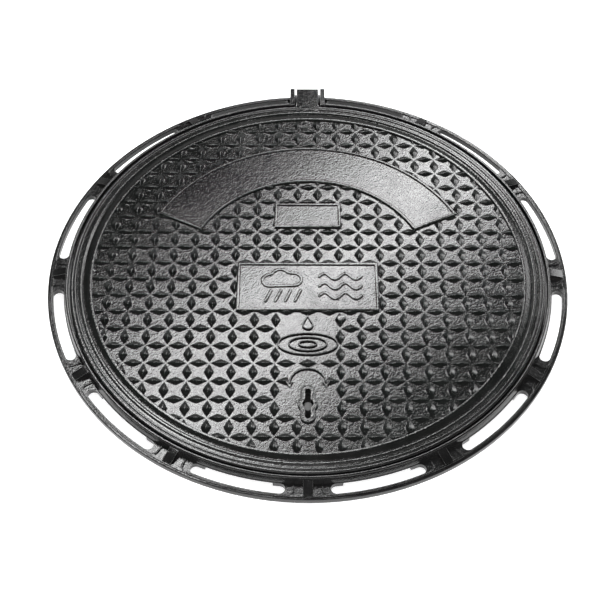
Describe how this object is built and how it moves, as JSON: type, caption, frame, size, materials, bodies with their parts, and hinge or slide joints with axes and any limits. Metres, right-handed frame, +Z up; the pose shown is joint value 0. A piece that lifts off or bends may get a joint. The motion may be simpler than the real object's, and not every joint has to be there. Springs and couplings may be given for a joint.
{
  "type": "manhole cover",
  "caption": "Round cast-iron manhole cover with a petal tread, hinged in a ring frame with a slotted flange, and locked by a swinging bar under its keyhole.",
  "frame": {"origin": "the ring's axis, at the base of the frame's skirt", "axes": "+Z up along the ring's axis, +Y towards the hinge"},
  "size_m": [0.7999, 0.807, 0.046],
  "materials": {
    "frame_iron": "black bitumen paint, glossy, fine cast grain",
    "cover_iron": "black bitumen paint, glossy, fine cast grain",
    "housing_iron": "black bitumen paint, satin",
    "gasket_rubber": "matte",
    "pin_steel": "turned and ground",
    "bush_bronze": "turned",
    "washer_nylon": "matte",
    "spring_steel": "oiled",
    "zinc_steel": "zinc plated",
    "rotor_steel": "cast and machined",
    "plug_steel": "turned, dull"
  },
  "bodies": {
    "frame": {"frame": "frame_iron", "seat_gasket": "gasket_rubber", "hinge_pin": "pin_steel", "pin_lock_left": "spring_steel", "pin_lock_right": "spring_steel", "hinge_washer_left": "washer_nylon", "hinge_washer_right": "washer_nylon"},
    "cover": {"cover": "cover_iron", "hinge_bush_left": "bush_bronze", "hinge_bush_right": "bush_bronze", "lock_housing": "housing_iron", "housing_gasket": "gasket_rubber", "housing_bolts": "zinc_steel", "housing_washers": "zinc_steel"},
    "lock": {"lock_rotor": "rotor_steel", "rotor_oring": "gasket_rubber", "lock_bar": "zinc_steel", "bar_washer": "zinc_steel", "bar_nut": "zinc_steel", "plug_spring": "spring_steel", "spring_cap": "rotor_steel"},
    "plug": {"dust_plug": "plug_steel"}
  },
  "joints": [
    {"name": "cover_hinge", "type": "hinge", "parent": "frame", "child": "cover", "pos_m": [0, 0.39, 0.036], "axis": [-1, 0, 0], "range_deg": [0, 105]},
    {"name": "lock_turn", "type": "hinge", "parent": "cover", "child": "lock", "pos_m": [0, -0.248, 0.02], "axis": [0, 0, -1], "range_deg": [0, 90]},
    {"name": "plug_press", "type": "slide", "parent": "lock", "child": "plug", "axis": [0, 0, -1], "range_m": [0, 0.008], "stiffness_N_per_m": 400, "springref_m": -0.008, "deforming": ["plug_spring"]}
  ]
}
